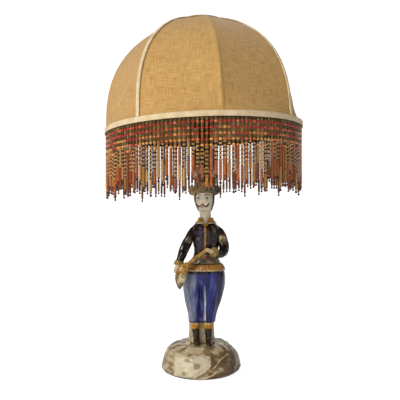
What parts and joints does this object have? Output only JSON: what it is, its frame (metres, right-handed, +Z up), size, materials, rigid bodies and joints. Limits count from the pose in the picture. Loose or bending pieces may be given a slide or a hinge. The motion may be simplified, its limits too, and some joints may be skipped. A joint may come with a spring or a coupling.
{
  "type": "table lamp",
  "caption": "Table lamp with a glazed pottery figure playing a lute on a rock base, and a cloth dome shade with a beaded fringe.",
  "frame": {"origin": "on the table, at the middle of the felt under the base", "axes": "+Z up, the figure's front faces -Y, +X to the viewer's right"},
  "size_m": [0.39, 0.39, 0.692],
  "materials": {
    "felt": "matt baize",
    "rock_glaze": "cream tin glaze with brown manganese washes",
    "white_glaze": "off-white tin glaze",
    "boot_glaze": "dark brown manganese glaze",
    "ochre_glaze": "ochre yellow glaze",
    "cobalt_glaze": "brushed cobalt blue glaze",
    "jacket_glaze": "brown-black manganese glaze with ochre flecks",
    "hair_glaze": "black-brown glaze",
    "hat_glaze": "olive brown glaze",
    "lute_glaze": "ochre and cream glaze",
    "steel": "zinc plated",
    "brass": "polished, slightly tarnished",
    "porcelain": "white glazed porcelain",
    "bulb_metal": "bare",
    "bulb_glass": "frosted",
    "frame_wire": "brown dipped wire",
    "shade_cloth": "plain-woven raw silk or jute, straw gold",
    "braid": "cream woven braid",
    "beads": "glass bugle and seed beads in red, olive, gold and amber"
  },
  "bodies": {
    "lamp": {"felt_pad": "felt", "rock_base": "rock_glaze", "cord_bush": "brass", "leg_support": "white_glaze", "right_boot": "boot_glaze", "left_boot": "boot_glaze", "right_sock": "ochre_glaze", "left_sock": "ochre_glaze", "trousers": "cobalt_glaze", "belt": "ochre_glaze", "jacket": "jacket_glaze", "jacket_placket": "ochre_glaze", "collar": "ochre_glaze", "right_arm": "jacket_glaze", "right_cuff": "ochre_glaze", "right_hand": "white_glaze", "left_arm": "jacket_glaze", "left_cuff": "ochre_glaze", "left_hand": "white_glaze", "lute_body": "lute_glaze", "lute_neck": "ochre_glaze", "head": "white_glaze", "hair": "hair_glaze", "hat": "hat_glaze", "lamp_tube": "steel", "bottom_washer": "steel", "bottom_nut": "steel", "brass_cap": "brass", "brass_cup": "brass", "holder_cap": "brass", "holder_shell": "brass", "holder_insert": "porcelain", "holder_screw_shell": "brass", "holder_contact": "brass", "terminal_screws": "brass"},
    "shade": {"shade_carrier": "frame_wire", "rim_ring": "frame_wire", "top_ring": "frame_wire", "shade_ribs": "frame_wire", "cloth_panel_1": "shade_cloth", "cloth_panel_2": "shade_cloth", "cloth_panel_3": "shade_cloth", "cloth_panel_4": "shade_cloth", "rib_braids": "braid", "rim_braid": "braid", "top_braid": "braid", "fringe_1": "beads", "fringe_2": "beads", "fringe_3": "beads", "fringe_4": "beads", "fringe_5": "beads", "fringe_6": "beads", "fringe_7": "beads", "fringe_8": "beads"},
    "lower_nut": {"lower_ring_nut": "brass"},
    "upper_nut": {"upper_ring_nut": "brass"},
    "bulb": {"bulb_cap": "bulb_metal", "bulb_glass": "bulb_glass"}
  },
  "joints": [
    {"name": "shade_turn", "type": "hinge", "parent": "lamp", "child": "shade", "pos_m": [0.0105, 0, 0.357], "axis": [-0.0366, 0, 0.9993], "continuous": true},
    {"name": "lower_nut_turn", "type": "hinge", "parent": "lamp", "child": "lower_nut", "pos_m": [0.0105, 0, 0.357], "axis": [-0.0366, 0, 0.9993], "continuous": true},
    {"name": "upper_nut_turn", "type": "hinge", "parent": "lamp", "child": "upper_nut", "pos_m": [0.0105, 0, 0.357], "axis": [-0.0366, 0, 0.9993], "continuous": true},
    {"name": "bulb_turn", "type": "hinge", "parent": "lamp", "child": "bulb", "pos_m": [0.0105, 0, 0.357], "axis": [-0.0366, 0, 0.9993], "continuous": true}
  ]
}
